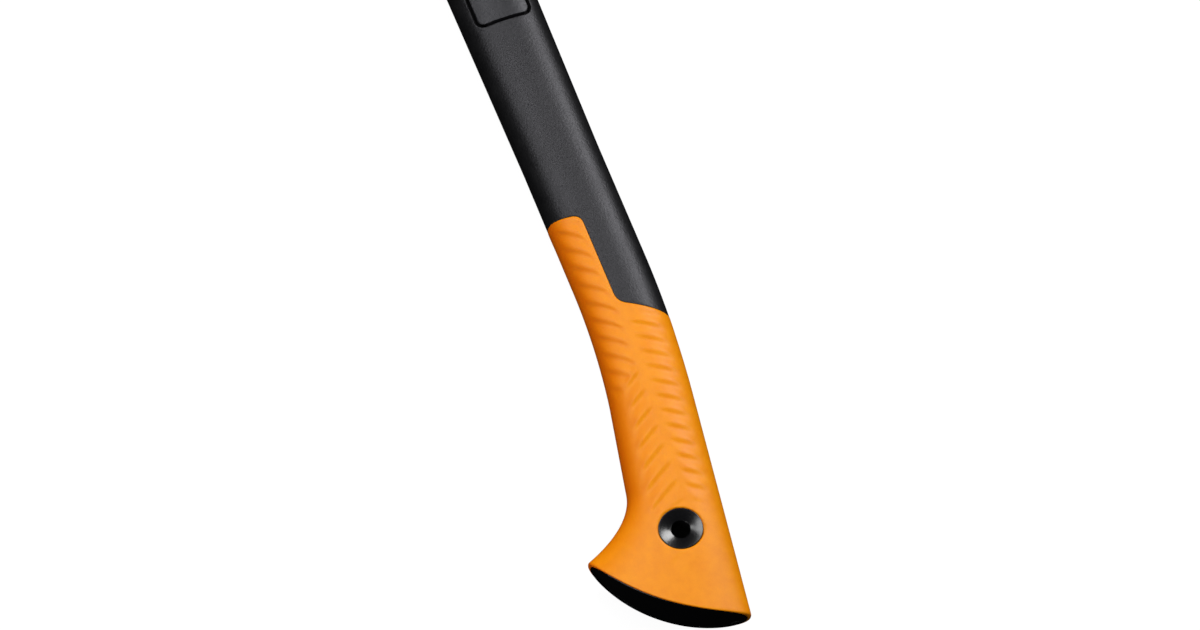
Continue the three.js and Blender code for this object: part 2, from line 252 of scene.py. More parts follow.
def columns(coarse, fine):
    # angles round the section at even steps of its outline, closer where fine says;
    # both sides mirror each other, so that a hole can join them
    turn = np.linspace(0, math.pi, 4001)
    n, half, thick = shaft["roundness"], shaft["halfWidth"], shaft["halfThick"]
    reach = (np.abs(np.cos(turn)) ** n + np.sin(turn) ** n) ** (1 / n)
    y, z = np.cos(turn) / reach * half, np.sin(turn) / reach * thick
    run = np.concatenate([[0], np.cumsum(np.hypot(np.diff(y), np.diff(z)))])
    stretches = []
    for low, high, step in fine:
        inside = np.where((y >= low) & (y <= high))[0]
        stretches.append((run[inside[0]], run[inside[-1]], step))
    places = graded(0, run[-1], coarse, stretches)
    upper = np.interp(places, run, turn)
    return np.concatenate([upper, -upper[-2:0:-1]])


def fitted(u, turn, distance, level=0.0):
    # cuts the grid's cells along a contour: the cut's corners are moved on to it, over the skin.
    # gives the moved grid, which cells are inside, and which corners lie on the cut
    radian = 18.0  # millimetres of skin in a radian of turn, near enough
    flat = lambda a, b: distance(*np.moveaxis(surface(a, b)[..., :2], -1, 0)) - level
    corner = flat(u, turn)
    beside = np.roll(corner, -1, 1)
    middle = (corner[:-1] + corner[1:] + beside[:-1] + beside[1:]) / 4
    cells = middle > 0
    inside = np.zeros(u.shape, int)
    outside = np.zeros(u.shape, int)
    for rows in (slice(0, -1), slice(1, None)):
        for shift in (0, 1):
            inside[rows] += np.roll(cells, shift, 1)
            outside[rows] += np.roll(~cells, shift, 1)
    cut = (inside > 0) & (outside > 0)
    u, turn = u.copy(), turn.copy()
    a, b = u[cut], turn[cut]
    for _ in range(5):
        d = flat(a, b)
        slopeU = (flat(a + 0.01, b) - d) / 0.01
        slopeT = (flat(a, b + 5e-4) - d) / 5e-4
        total = slopeU ** 2 + (slopeT / radian) ** 2 + 1e-6
        a = a - d * slopeU / total
        b = b - d * slopeT / radian ** 2 / total
    u[cut], turn[cut] = a, b
    return u, turn, cells, cut


# meshes

def makePiece(name, points, faces, material, replaced, smoothAngle=40):
    mesh = bpy.data.meshes.new(name)
    mesh.from_pydata(metres(points).tolist(), [], faces)
    mesh.validate()
    mesh.update()
    piece = bpy.data.objects.new(name, mesh)
    bpy.context.scene.collection.objects.link(piece)
    mesh.materials.append(material)
    mesh.shade_smooth()
    mesh.set_sharp_from_angle(angle=math.radians(smoothAngle))
    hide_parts(replaced)
    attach(piece, "root")
    print(name, len(mesh.vertices), "points")
    return piece


def usedOnly(points, faces):
    used = np.unique(np.concatenate([np.array(f) for f in faces]))
    place = np.full(len(points), -1)
    place[used] = np.arange(len(used))
    return points[used], [tuple(int(place[i]) for i in f) for f in faces]


def shellFaces(rows, cols, mask, closed=True):
    # an outer and an inner grid of the same cells, joined by walls round every edge
    faces = []
    count = rows * cols
    at = lambda i, j: i * cols + (j % cols)
    span = cols if closed else cols - 1
    inside = lambda i, j: (
        0 <= i < rows - 1 and (closed or 0 <= j < span) and mask[i, j % cols])
    for i in range(rows - 1):
        for j in range(span):
            if not mask[i, j]:
                continue
            a, b, c, d = at(i, j), at(i, j + 1), at(i + 1, j + 1), at(i + 1, j)
            faces.append((a, b, c, d))
            faces.append((a + count, d + count, c + count, b + count))
            sides = ((a, b, i - 1, j), (b, c, i, j + 1), (c, d, i + 1, j), (d, a, i, j - 1))
            for p, q, ni, nj in sides:
                if not inside(ni, nj):
                    faces.append((q, p, p + count, q + count))
    return faces


def tubeFaces(rows, cols, mask):
    # a closed grid with both ends filled; a hole in the mask goes through to the other side
    faces = []
    at = lambda i, j: i * cols + (j % cols)
    mirror = lambda j: (cols - j) % cols
    for i in range(rows - 1):
        for j in range(cols):
            if not mask[i, j]:
                continue
            faces.append((at(i, j), at(i, j + 1), at(i + 1, j + 1), at(i + 1, j)))
            if j >= cols // 2:
                continue
            edges = (
                ((i, j), (i, j + 1), i - 1, j), ((i, j + 1), (i + 1, j + 1), i, j + 1),
                ((i + 1, j + 1), (i + 1, j), i + 1, j), ((i + 1, j), (i, j), i, j - 1),
            )
            for p, q, ni, nj in edges:
                if 0 <= ni < rows - 1 and not mask[ni, nj % cols]:
                    faces.append((at(*q), at(*p), at(p[0], mirror(p[1])), at(q[0], mirror(q[1]))))
    first, last = rows * cols, rows * cols + 1
    for j in range(cols):
        faces.append((first, at(0, j + 1), at(0, j)))
        faces.append((last, at(rows - 1, j), at(rows - 1, j + 1)))
    return faces


# materials

class Link:
    # one socket of a node, so that shader sums read as sums

    def __init__(self, finish, socket):
        self.finish = finish
        self.socket = socket

    def math(self, operation, *others):
        return self.finish.node("ShaderNodeMath", {"operation": operation}, [self, *others])

    def __add__(self, other):
        return self.math("ADD", other)

    def __sub__(self, other):
        return self.math("SUBTRACT", other)

    def __rsub__(self, other):
        return self.finish.node("ShaderNodeMath", {"operation": "SUBTRACT"}, [other, self])

    def __mul__(self, other):
        return self.math("MULTIPLY", other)

    __radd__ = __add__
    __rmul__ = __mul__


class Finish:
    # a material with one Principled shader, and the one method that adds its nodes

    def __init__(self, name, **constants):
        self.material = bpy.data.materials.new(name)
        self.material.use_nodes = True
        self.tree = self.material.node_tree
        self.tree.nodes.clear()
        self.shader = self.tree.nodes.new("ShaderNodeBsdfPrincipled")
        output = self.tree.nodes.new("ShaderNodeOutputMaterial")
        self.tree.links.new(self.shader.outputs[0], output.inputs[0])
        for key, value in constants.items():
            self.shader.inputs[key.replace("_", " ")].default_value = value
        self.place = self.node("ShaderNodeTexCoord", {}, {}, "Object")

    def node(self, kind, settings, inputs, output=0):
        made = self.tree.nodes.new(kind)
        for key, value in settings.items():
            setattr(made, key, value)
        pairs = inputs.items() if isinstance(inputs, dict) else enumerate(inputs)
        for key, value in pairs:
            if isinstance(value, Link):
                self.tree.links.new(value.socket, made.inputs[key])
            else:
                made.inputs[key].default_value = value
        return Link(self, made.outputs[output])

    def feed(self, **sockets):
        for key, value in sockets.items():
            self.tree.links.new(value.socket, self.shader.inputs[key.replace("_", " ")])
        return self.material

    def stretched(self, x, y, z):
        return self.node("ShaderNodeVectorMath", {"operation": "MULTIPLY"}, [self.place, (x, y, z)])

    def noise(self, size, detail=2.0, rough=0.5, vector=None):
        # size is the width of the pattern's blots in millimetres
        return self.node("ShaderNodeTexNoise", {}, {
            "Vector": vector or self.place, "Scale": 1000 / size,
            "Detail": detail, "Roughness": rough,
        })

    def ranged(self, value, low, high, toLow=0.0, toHigh=1.0):
        return self.node("ShaderNodeMapRange", {"clamp": True}, {
            "Value": value, "From Min": low, "From Max": high, "To Min": toLow, "To Max": toHigh,
        })

    def blend(self, factor, a, b):
        return self.node("ShaderNodeMix", {"data_type": "RGBA"}, {0: factor, 6: a, 7: b}, 2)

    def insideRoundRect(self, middle, half, corner):
        # 1 where the place lies inside a rectangle with round corners, seen from above
        over = []
        for axis, at, reach in zip("XY", metres([*middle, 0]), half):
            along = self.node("ShaderNodeSeparateXYZ", {}, [self.place], axis)
            away = (along - float(at)).math("ABSOLUTE")
            over.append((away - (reach - corner) / 1000).math("MAXIMUM", 0.0))
        return (over[0] * over[0] + over[1] * over[1]).math("LESS_THAN", (corner / 1000) ** 2)

    def bump(self, height, depth):
        # depth is the height of the relief in millimetres
        return self.node("ShaderNodeBump", {}, {
            "Height": height, "Distance": depth / 1000, "Strength": 1.0,
        })


def compositeFinish():
    look = {
        "dark": (0.005, 0.005, 0.0055, 1), "light": (0.0095, 0.0095, 0.01, 1),
        "shade": (0.0008, 0.0008, 0.0008, 1), "shadeRough": 0.95, "shadeInside": 0.06,
        "grain": 1.1, "grainDepth": 0.15, "rough": (0.37, 0.43),
    }
    f = Finish("moulded glass-fibre composite", Specular_IOR_Level=0.34,
               Specular_Tint=(0.94, 0.93, 1, 1))
    grain = f.noise(look["grain"], 3.0, 0.6)
    clouds = f.noise(9.0, 3.0, 0.55)
    # painted shade: inside the groove round the label the colour is near black and the surface very
    # rough, standing in for the shade that falls in the groove
    pocket = f.insideRoundRect(*panelOutline(label["groove"] / 2 - look["shadeInside"]))
    plain = f.blend(f.ranged(clouds * 0.5 + grain * 0.5, 0.35, 0.65), look["dark"], look["light"])
    f.feed(Base_Color=f.blend(pocket, plain, look["shade"]))
    rough = f.ranged(clouds * 0.6 + grain * 0.4, 0.35, 0.65, *look["rough"])
    f.feed(Roughness=rough * (1 - pocket) + pocket * look["shadeRough"])
    return f.feed(Normal=f.bump(grain, look["grainDepth"]))


def labelFinish():
    look = {
        "dark": (0.011, 0.011, 0.0125, 1), "light": (0.016, 0.016, 0.018, 1),
        "grain": 1.1, "grainDepth": 0.07, "rough": (0.34, 0.42),
    }
    f = Finish("smooth panel", Specular_IOR_Level=0.31, Specular_Tint=(0.94, 0.94, 1, 1))
    grain = f.noise(look["grain"], 2.0, 0.5)
    clouds = f.noise(7.0, 2.0, 0.5)
    f.feed(Base_Color=f.blend(f.ranged(clouds, 0.35, 0.65), look["dark"], look["light"]))
    f.feed(Roughness=f.ranged(grain, 0.3, 0.7, *look["rough"]))
    return f.feed(Normal=f.bump(grain, look["grainDepth"]))


def softGripFinish():
    look = {
        "deep": (0.88, 0.265, 0.001, 1), "bright": (0.96, 0.32, 0.002, 1),
        # the turned orange is painted shade for the grip's side that faces forward
        "turned": (0.88, 0.165, 0.0005, 1),
        "grain": 0.5, "grainDepth": 0.035, "rough": (0.37, 0.46),
    }
    f = Finish("orange soft rubber", Specular_IOR_Level=0.21, Subsurface_Weight=0.06,
               Subsurface_Scale=0.002)
    grain = f.noise(look["grain"], 2.5, 0.6)
    clouds = f.noise(6.0, 4.0, 0.6)
    # painted shade: where the surface faces forward (+Y) the orange turns darker and redder, standing
    # in for the shaded side of the grip
    facing = f.node("ShaderNodeNewGeometry", {}, {}, "Normal")
    forward = f.node("ShaderNodeSeparateXYZ", {}, [facing], "Y")
    patches = f.ranged(clouds * 0.65 + grain * 0.35, 0.35, 0.65)
    mottled = f.blend(patches, look["deep"], look["bright"])
    f.feed(Base_Color=f.blend(f.ranged(forward, 0.1, 0.9), mottled, look["turned"]))
    f.feed(Roughness=f.ranged(clouds * 0.4 + grain * 0.6, 0.35, 0.65, *look["rough"]))
    return f.feed(Normal=f.bump(grain, look["grainDepth"]))


def capFinish():
    look = {
        "dark": (0.002, 0.002, 0.0023, 1), "light": (0.0035, 0.0035, 0.004, 1),
        "rough": (0.12, 0.2), "grain": 0.8, "grainDepth": 0.003,
    }
    f = Finish("satin black plastic", Specular_IOR_Level=0.1)
    grain = f.noise(look["grain"], 3.0, 0.6)
    clouds = f.noise(12.0, 3.0, 0.6)
    f.feed(Base_Color=f.blend(clouds, look["dark"], look["light"]))
    f.feed(Roughness=f.ranged(clouds * 0.5 + grain * 0.5, 0.35, 0.65, *look["rough"]))
    return f.feed(Normal=f.bump(grain, look["grainDepth"]))


def eyeletFinish():
    look = {
        "dark": (0.003, 0.003, 0.0035, 1), "light": (0.006, 0.006, 0.007, 1),
        "rough": (0.14, 0.2), "grain": 0.6, "grainDepth": 0.004,
    }
    f = Finish("polished black plastic", Specular_IOR_Level=0.5)
    grain = f.noise(look["grain"], 2.0, 0.5)
    f.feed(Base_Color=f.blend(grain, look["dark"], look["light"]))
    f.feed(Roughness=f.ranged(grain, 0.3, 0.7, *look["rough"]))
    return f.feed(Normal=f.bump(grain, look["grainDepth"]))


def steelFinish(bevelFrom, middle, bowFactor):
    # a dark slick coating over forged steel, ground bright along the cutting edge;
    # the ground band starts at bevelFrom and bows away to both sides of the middle
    look = {
        "coat": (0.012, 0.012, 0.013, 1), "coatLight": (0.02, 0.02, 0.021, 1),
        "steel": (0.52, 0.52, 0.53, 1), "steelDark": (0.36, 0.36, 0.37, 1),
        "coatRough": (0.34, 0.46), "groundRough": 0.26, "groundLines": 0.12,
        "wander": 0.0006, "border": 0.0004, "relief": 0.05,
    }
    f = Finish("coated forged steel", Specular_IOR_Level=0.6)
    forward = f.node("ShaderNodeSeparateXYZ", {}, [f.place], "Y")
    aside = f.node("ShaderNodeSeparateXYZ", {}, [f.place], "X") - middle
    bow = aside * aside * -bowFactor
    wander = (f.noise(5.0, 2.0) - 0.5) * look["wander"]
    ground = f.ranged(forward + wander - bow, bevelFrom, bevelFrom + look["border"])
    lines = f.noise(0.5, 3.0, 0.6, f.stretched(1.0, 0.05, 0.05))
    clouds = f.noise(7.0, 4.0, 0.6)
    pits = f.noise(1.1, 3.0, 0.6)
    coat = f.blend(clouds, look["coat"], look["coatLight"])
    steel = f.blend(f.ranged(lines, 0.3, 0.7), look["steelDark"], look["steel"])
    f.feed(Base_Color=f.blend(ground, coat, steel))
    f.feed(Metallic=ground)
    coatRough = f.ranged(clouds * 0.5 + pits * 0.5, 0.35, 0.65, *look["coatRough"])
    groundRough = look["groundRough"] + lines * look["groundLines"]
    f.feed(Roughness=coatRough * (1 - ground) + ground * groundRough)
    height = (pits + clouds) * (1 - ground) + lines * ground * 0.15
    return f.feed(Normal=f.bump(height, look["relief"]))


composite = compositeFinish()
softRubber = softGripFinish()
panelFinish = labelFinish()
blackCap = capFinish()
blackEyelet = eyeletFinish()
print("finishes made")


# the outlines drawn on the handle's side

def arcCorner(before, corner, after, radius, steps=10):
    # points of a curve that rounds a corner, starting and ending radius away from it
    t = np.linspace(0, 1, steps)[:, None]
    toStart = (before - corner) / np.linalg.norm(before - corner)
    toEnd = (after - corner) / np.linalg.norm(after - corner)
    start, end = corner + toStart * radius, corner + toEnd * radius
    return (1 - t) ** 2 * start + 2 * t * (1 - t) * corner + t * t * end


def gripLine():
    # the grip's upper edge: across the tongue, down its side, and slanting to the back edge
    rise = (grip["frontTop"] - grip["sideTop"]) / grip["tongueWidth"]
    backY = float(backEdge(np.array(grip["backEnd"])))
    slant = (grip["backTop"] - grip["backEnd"]) / (grip["tongueEdgeY"] - backY)
    corner = np.array([grip["sideTop"], grip["tongueEdgeY"]])
    foot = np.array([grip["backTop"], grip["tongueEdgeY"]])
    start = corner + np.array([rise, 1]) * 40
    end = foot - np.array([slant, 1]) * 60
    return np.concatenate([
        [start], arcCorner(start, corner, foot, grip["corner"]),
        arcCorner(corner, foot, end, grip["corner"]), [end],
    ])


gripEdge = gripLine()


def inGrip(x, y):
    return -polylineDistance(x, y, gripEdge)


def inPanel(grow):
    return lambda x, y: roundRectDistance(x, y, *panelOutline(grow))


def inRing(radius):
    return lambda x, y: radius - np.hypot(x, y)


# the grip's chevrons

chevron = {
    "depth": 0.6, "spineFrom": 117.0, "spineY": -14.5, "spineSlope": 0.0624,
    "frontPitch": 10.04, "frontAt": 155.4, "frontSlope": 0.95, "frontSharp": 0.42,
    "lowPitch": 9.68, "lowAt": 82.6, "lowSlope": 0.64, "lowSharp": 0.52,
    "backPitch": 7.97, "backAt": 108.6, "backSlope": 0.53, "backSharp": 0.42,
    "frontGain": 0.75, "lowGain": 1.0, "backGain": 0.85,
    "sideMargin": 7.0, "backMargin": 4.0, "middleY": -12.0,
    "changeAt": 86.0, "changeSlope": 0.8, "changeSoft": 2.5, "lowWidest": 20.0,
    "frontEnd": (163, 168), "lowEnd": (-26, -6), "lowFade": (4, 24), "lowLeft": 0.3,
    "backStart": (6, 20), "backEnd": (106, 112),
}


def groove(phase, sharp):
    # a soft saw-tooth from -1 to 1 that climbs towards the head at each whole phase
    turned = 2 * np.pi * phase
    return np.arctan2(sharp * np.sin(turned), 1 - sharp * np.cos(turned)) / math.asin(sharp)


def chevronRelief(x, y):
    # three fields of slanting grooves: upper front, lower front and back, on both sides of a spine
    c = chevron
    spine = c["spineY"] + (c["spineFrom"] - np.minimum(x, c["spineFrom"])) * c["spineSlope"]
    front, back = frontEdge(x), backEdge(x)
    fromMiddle = y - c["middleY"]
    soft = c["changeSoft"]
    change = smooth(-soft, soft, x - (c["changeAt"] - c["changeSlope"] * fromMiddle))

    phase = (x - c["frontSlope"] * fromMiddle - c["frontAt"]) / c["frontPitch"]
    upper = groove(phase, c["frontSharp"]) * window(spine + 0.8, front - 0.6, 3.4, y)
    upper = upper * change * (1 - smooth(*c["frontEnd"], x))

    phase = (x + c["lowSlope"] * (y - spine) - c["lowAt"]) / c["lowPitch"]
    edge = np.minimum(front, c["lowWidest"]) - c["sideMargin"]
    fade = c["lowLeft"] + (1 - c["lowLeft"]) * smooth(*c["lowFade"], x)
    lower = groove(phase, c["lowSharp"]) * window(spine + 0.3, edge, 4.0, y)
    lower = lower * (1 - change) * fade * smooth(*c["lowEnd"], x)

    phase = (x + c["backSlope"] * (spine - y) - c["backAt"]) / c["backPitch"]
    behind = groove(phase, c["backSharp"]) * window(back + c["backMargin"], spine - 0.4, 4.5, y)
    behind = behind * smooth(*c["backStart"], x) * (1 - smooth(*c["backEnd"], x))
    deep = c["frontGain"] * upper + c["lowGain"] * lower + c["backGain"] * behind
    return c["depth"] / 2 * deep


# the soft grip

def makeGrip():
    # the grid reaches a little past the tongue; its rows are closer where an outline crosses it
    low, high = knob["heelX"], grip["frontTop"] + 4.6
    rows = graded(low, high, 0.85, [
        (low, low + 3.5, 0.22), (-12, 12, 0.4), (103, 122, 0.35), (162, 174, 0.35)])
    cols = columns(0.8, [(-9.5, 8.5, 0.42)])
    u, turn = np.meshgrid(rows, cols, indexing="ij")
    ring = inRing(eyelet["flangeRadius"] + grip["holeGap"])
    u, turn, hole, _ = fitted(u, turn, ring)
    u, turn, covered, _ = fitted(u, turn, inGrip)
    skin = surface(u, turn)
    normal = skinNormal(u, turn)
    x, y = skin[..., 0], skin[..., 1]
    inside = inGrip(x, y)
    fromRing = -ring(x, y)
    fromButt = (u - low) * 0.85
    lift = chevronRelief(x, y) * smooth(0.5, 4, inside) * smooth(0.4, 3.5, fromRing)
    lift = lift + grip["proud"] * (1 - smooth(2, 12, inside)) - quarterRound(inside, grip["edgeRound"])
    lift = lift - quarterRound(fromRing, grip["holeRound"])
    lift = lift - quarterRound(fromButt, grip["lipRound"])
    outerSide = skin + normal * lift[..., None]
    innerSide = surface(u, turn, gripDepth(u))
    points = np.concatenate([outerSide.reshape(-1, 3), innerSide.reshape(-1, 3)])
    points, faces = usedOnly(points, shellFaces(len(rows), len(cols), covered & ~hole))
    return makePiece("soft_grip_shell", points, faces, softRubber,
                     "soft_grip", 50)


makeGrip()


# the composite handle

def makeHandle():
    low = knob["heelX"] + 3.6
    endTop = collar["top"] - collar["crown"] + collar["crown"] * collar["crownTurn"]
    lowPanel, highPanel = label["from"], label["to"]
    rows = graded(low, endTop, 3.0, [
        (-8, 8, 0.8), (100, 124, 0.35), (160, 175, 0.35), (124, 160, 1.5),
        (lowPanel - 1.5, lowPanel + 6, 0.22), (highPanel - 6, highPanel + 1.5, 0.22),
        (500, 545, 1.2), (collar["top"] - collar["crown"] - 1, endTop, 0.6)])
    edge = label["halfWidth"]
    cols = columns(0.9, [
        (1.8, 6.2, 0.35), (edge - 4.5, edge + 1.2, 0.25), (-edge - 1.2, -edge + 4.5, 0.25)])
    u, turn = np.meshgrid(rows, cols, indexing="ij")
    pocket = inPanel(label["groove"] / 2)
    u, turn, _, seatEdge = fitted(u, turn, inGrip, -grip["seatGap"])
    u, turn, _, pocketEdge = fitted(u, turn, pocket)
    skin = surface(u, turn)
    normal = skinNormal(u, turn)
    x, y = skin[..., 0], skin[..., 1]
    covered = inGrip(x, y) + grip["seatGap"]
    inPocket = pocket(x, y)
    lift = -quarterRound(-covered, 0.1) - quarterRound(-inPocket, 0.05)
    lift = np.where((covered > 0) & ~seatEdge, -(grip["thick"] + grip["under"]), lift)
    lift = np.where((inPocket > 0) & ~pocketEdge, -label["deep"], lift)
    points = skin + normal * lift[..., None]
    hole = np.hypot(points[..., 0], points[..., 1]) < eyelet["barrelRadius"] + 0.4
    cell = hole[:-1] | hole[1:]
    mask = ~(cell | np.roll(cell, -1, 1))
    ends = np.stack([points[0].mean(0), points[-1].mean(0)])
    flat = np.concatenate([points.reshape(-1, 3), ends])
    flat, faces = usedOnly(flat, tubeFaces(len(rows), len(cols), mask))
    return makePiece("handle_body", flat, faces, composite,
                     "handle_shell", 50)


makeHandle()


# the label plates

def makePlate(side):
    lowPanel, highPanel = label["from"], label["to"]
    rows = graded(lowPanel - 1, highPanel + 1, 3.0, [
        (lowPanel - 1, lowPanel + 5.5, 0.22), (highPanel - 5.5, highPanel + 1, 0.22)])
    edge = label["halfWidth"]
    cols = columns(0.9, [(edge - 5, edge + 0.8, 0.22), (-edge - 0.8, -edge + 5, 0.22)])
    cols = cols[(cols > 0.2) & (cols < math.pi - 0.2)]  # one side of the handle only
    u, turn = np.meshgrid(rows, cols, indexing="ij")
    outline = inPanel(-label["groove"] / 2)
    u, turn, cells, _ = fitted(u, turn, outline)
    skin = surface(u, turn)
    normal = skinNormal(u, turn)
    inside = outline(skin[..., 0], skin[..., 1])
    lift = -0.02 - quarterRound(inside, 0.15)
    top = skin + normal * lift[..., None]
    under = surface(u, turn, label["thick"])
    mask = cells.copy()
    mask[:, -1] = False
    points = np.concatenate([top.reshape(-1, 3), under.reshape(-1, 3)])
    points, faces = usedOnly(points, shellFaces(len(rows), len(cols), mask, closed=False))
    word = "front" if side > 0 else "back"
    if side < 0:
        points = points * np.array([1, 1, -1])
        faces = [f[::-1] for f in faces]
    return makePiece("label_panel_" + word, points, faces, panelFinish,
                     "label_plate_" + word, 50)


for side in (1, -1):
    makePlate(side)


# the butt cap

butt = {
    "flange": 3.2, "spigotDepth": 9, "clear": 0.1, "rimHigh": 0.5, "rimRound": 0.12,
    "rimWide": 1.9, "recess": 0.3, "crown": -0.1, "spigotIn": 4.3, "spigotChamfer": 0.6,
}
# how far in and how deep the step inside the rim is, as shares of the rim and the recess
rimStep = ((0.5, 0), (0.92, 0), (0.98, 0.03), (1.0, 0.1), (1.02, 0.9), (1.04, 0.97), (1.1, 1))


def makeCap():
    turn = columns(0.8, [])
    low, b = knob["heelX"], butt
    spigot = grip["thick"] + b["spigotIn"]
    edge = grip["lip"] + b["clear"]
    rings = []

    def add(u, inset, scale=1.0, push=0.0):
        rings.append(surface(np.full(len(turn), float(u)), turn, inset, scale, push))

    add(low + b["spigotDepth"], spigot + b["spigotChamfer"])
    add(low + b["spigotDepth"] - b["spigotChamfer"], spigot)
    add(low + b["flange"], spigot)
    for step in np.linspace(b["flange"], 0, 14):
        add(low + step, gripDepth(low + step) + b["clear"])
    for angle in np.linspace(0, 90, 8):
        a = math.radians(angle)
        add(low, edge + b["rimRound"] * (1 - math.cos(a)), 1,
            b["rimHigh"] - b["rimRound"] * (1 - math.sin(a)))
    for across, down in rimStep:
        add(low, edge + b["rimWide"] * across, 1, b["rimHigh"] - b["recess"] * down)
    inner = edge + b["rimWide"] * rimStep[-1][0]
    for scale in np.linspace(0.985, 0.04, 30):
        add(low, inner, scale, b["rimHigh"] - b["recess"] + b["crown"] * (1 - scale ** 2.2))
    points = np.stack(rings)
    count, around = points.shape[:2]
    ends = np.stack([points[0].mean(0), points[-1].mean(0)])
    mask = np.ones((count - 1, around), bool)
    faces = [f[::-1] for f in tubeFaces(count, around, mask)]
    flat = np.concatenate([points.reshape(-1, 3), ends])
    return makePiece("butt_end_cap", flat, faces, blackCap, "butt_cap", 50)


makeCap()


# the eyelet

def turnedPiece(name, profile, side, replaced):
    # a ring turned from a closed profile of (radius, height) points
    steps = 144
    rims = np.array(profile)
    angle = np.linspace(0, 2 * np.pi, steps, endpoint=False)
    points = np.stack([
        np.outer(np.cos(angle), rims[:, 0]),
        np.outer(np.sin(angle), rims[:, 0]),
        np.outer(np.ones(steps), rims[:, 1]) * side,
    ], -1).reshape(-1, 3)
    count = len(rims)
    faces = []
    for k in range(steps):
        for i in range(count):
            j = (i + 1) % count
            n = (k + 1) % steps
            face = (k * count + i, k * count + j, n * count + j, n * count + i)
            faces.append(face if side > 0 else face[::-1])
    return makePiece(name, points, faces, blackEyelet, replaced, 35)


def rounded(corner, before, after, radius, steps=6):
    corner, before, after = (np.array(p, float) for p in (corner, before, after))
    return [tuple(p) for p in arcCorner(before, corner, after, radius, steps)]


def makeEyelets():
    e = eyelet
    top, floorZ = e["height"], knob["halfThick"] - grip["thick"] + 0.3
    hole, outer = e["holeRadius"], e["flangeRadius"]
    lip = (hole, top - e["dish"])
    rim = (outer, top)
    face = rounded(lip, (hole, 0), rim, e["lipRound"]) + rounded(rim, lip, (outer, 0), e["rimRound"])
    flange = face + [(outer, floorZ), (e["barrelRadius"], floorZ)]
    over, gap = e["overlap"], e["gap"]
    socket = e["sleeveRadius"] + gap
    turnedPiece("eyelet_half_front", flange + [
        (e["barrelRadius"], -over), (socket, -over),
        (socket, over + gap), (hole, over + gap)], 1, "eyelet_front")
    turnedPiece("eyelet_half_back", flange + [
        (e["barrelRadius"], over + gap), (e["sleeveRadius"], over + gap),
        (e["sleeveRadius"], -over), (hole, -over)], -1, "eyelet_back")


makeEyelets()


# the head

head = {
    "middleX": 572, "waistHalfHeight": 28, "waistHalfThick": 9.5, "shoulderY": 8.4,
    "bladeHalfHeight": 31, "bladeHalfThick": 12.5, "pollY": -66, "pollShoulderY": -44.4,
    "pollHalfHeight": 30, "pollHalfThick": 14.5, "edgeY": 95, "edgeBow": 11,
    "edgeHalfLength": 56, "edgeDropX": -9, "bevel": 13, "bevelHalfThick": 1.9,
    "edgeHalfThick": 0.15, "square": 9, "edgeSquare": 3, "chamfer": 1.5,
    "pollEase": 0.8, "shoulderEase": 0.9, "flare": 1.7, "lean": 1.6, "thinning": 0.85,
}


def makeHead():
    h = head
    turn = np.linspace(0, 2 * np.pi, 129)[:-1]
    rows = []

    def ring(y, x, height, thick, square, bow=0.0):
        c, d = np.cos(turn), np.sin(turn)
        reach = (np.abs(c) ** square + np.abs(d) ** square) ** (1 / square)
        w, z = d / reach, c / reach
        rows.append(np.stack([x + w * height, y + bow * (1 - w * w), z * thick], -1))

    def bladeAt(y):
        # the middle and the half height of the blade, flaring and leaning towards the edge
        share = (y - h["shoulderY"]) / (h["edgeY"] - h["shoulderY"])
        flared = (h["edgeHalfLength"] - h["bladeHalfHeight"]) * share ** h["flare"]
        return mid + h["edgeDropX"] * share ** h["lean"], h["bladeHalfHeight"] + flared

    mid, square = h["middleX"], h["square"]
    for a in np.linspace(0, 90, 7):
        cut = h["chamfer"] * (1 - math.sin(math.radians(a)))
        y = h["pollY"] + h["chamfer"] * (1 - math.cos(math.radians(a)))
        ring(y, mid, h["pollHalfHeight"] - cut, h["pollHalfThick"] - cut, square)
    for y in np.linspace(h["pollY"] + h["chamfer"] + 1, h["pollShoulderY"] - 1, 8):
        ring(y, mid, h["pollHalfHeight"], h["pollHalfThick"], square)
    for a in np.linspace(15, 90, 5):
        cut = h["pollEase"] * (1 - math.cos(math.radians(a)))
        y = h["pollShoulderY"] - h["pollEase"] + h["pollEase"] * math.sin(math.radians(a))
        ring(y, mid, h["pollHalfHeight"] - cut, h["pollHalfThick"] - cut, square)
    for y in (h["pollShoulderY"], h["shoulderY"]):
        ring(y, mid, h["waistHalfHeight"], h["waistHalfThick"], square)
    steps = 60
    bevelAt = h["edgeY"] - h["bevel"]
    for along in np.linspace(0, 1, steps + 1):
        y = h["shoulderY"] + (bevelAt - h["shoulderY"]) * along
        x, height = bladeAt(y)
        thinned = (h["bevelHalfThick"] - h["bladeHalfThick"]) * along ** h["thinning"]
        cut = float(quarterRound(y - h["shoulderY"], h["shoulderEase"]))
        exponent = square + (h["edgeSquare"] - square) * along
        thick = h["bladeHalfThick"] + thinned - cut
        ring(y, x, height - cut, thick, exponent, h["edgeBow"] * along ** 2)
    for t in np.linspace(0, 1, 12)[1:]:
        y = bevelAt + h["bevel"] * t
        x, height = bladeAt(y)
        thick = h["bevelHalfThick"] + (h["edgeHalfThick"] - h["bevelHalfThick"]) * t
        ring(y, x, height, thick, h["edgeSquare"], h["edgeBow"])
    points = np.stack(rows)
    count, around = points.shape[:2]
    ends = np.stack([points[0].mean(0), points[-1].mean(0)])
    mask = np.ones((count - 1, around), bool)
    faces = tubeFaces(count, around, mask)
    x, height = bladeAt(bevelAt)
    bevelTop = metres([x, bevelAt + h["edgeBow"], 0])
    material = steelFinish(float(bevelTop[1]), float(bevelTop[0]), 1000 * h["edgeBow"] / height ** 2)
    flat = np.concatenate([points.reshape(-1, 3), ends])
    return makePiece("head_forging", flat, faces, material, "axe_head", 35)


makeHead()


# the stage: a pale floor, soft lights and the camera

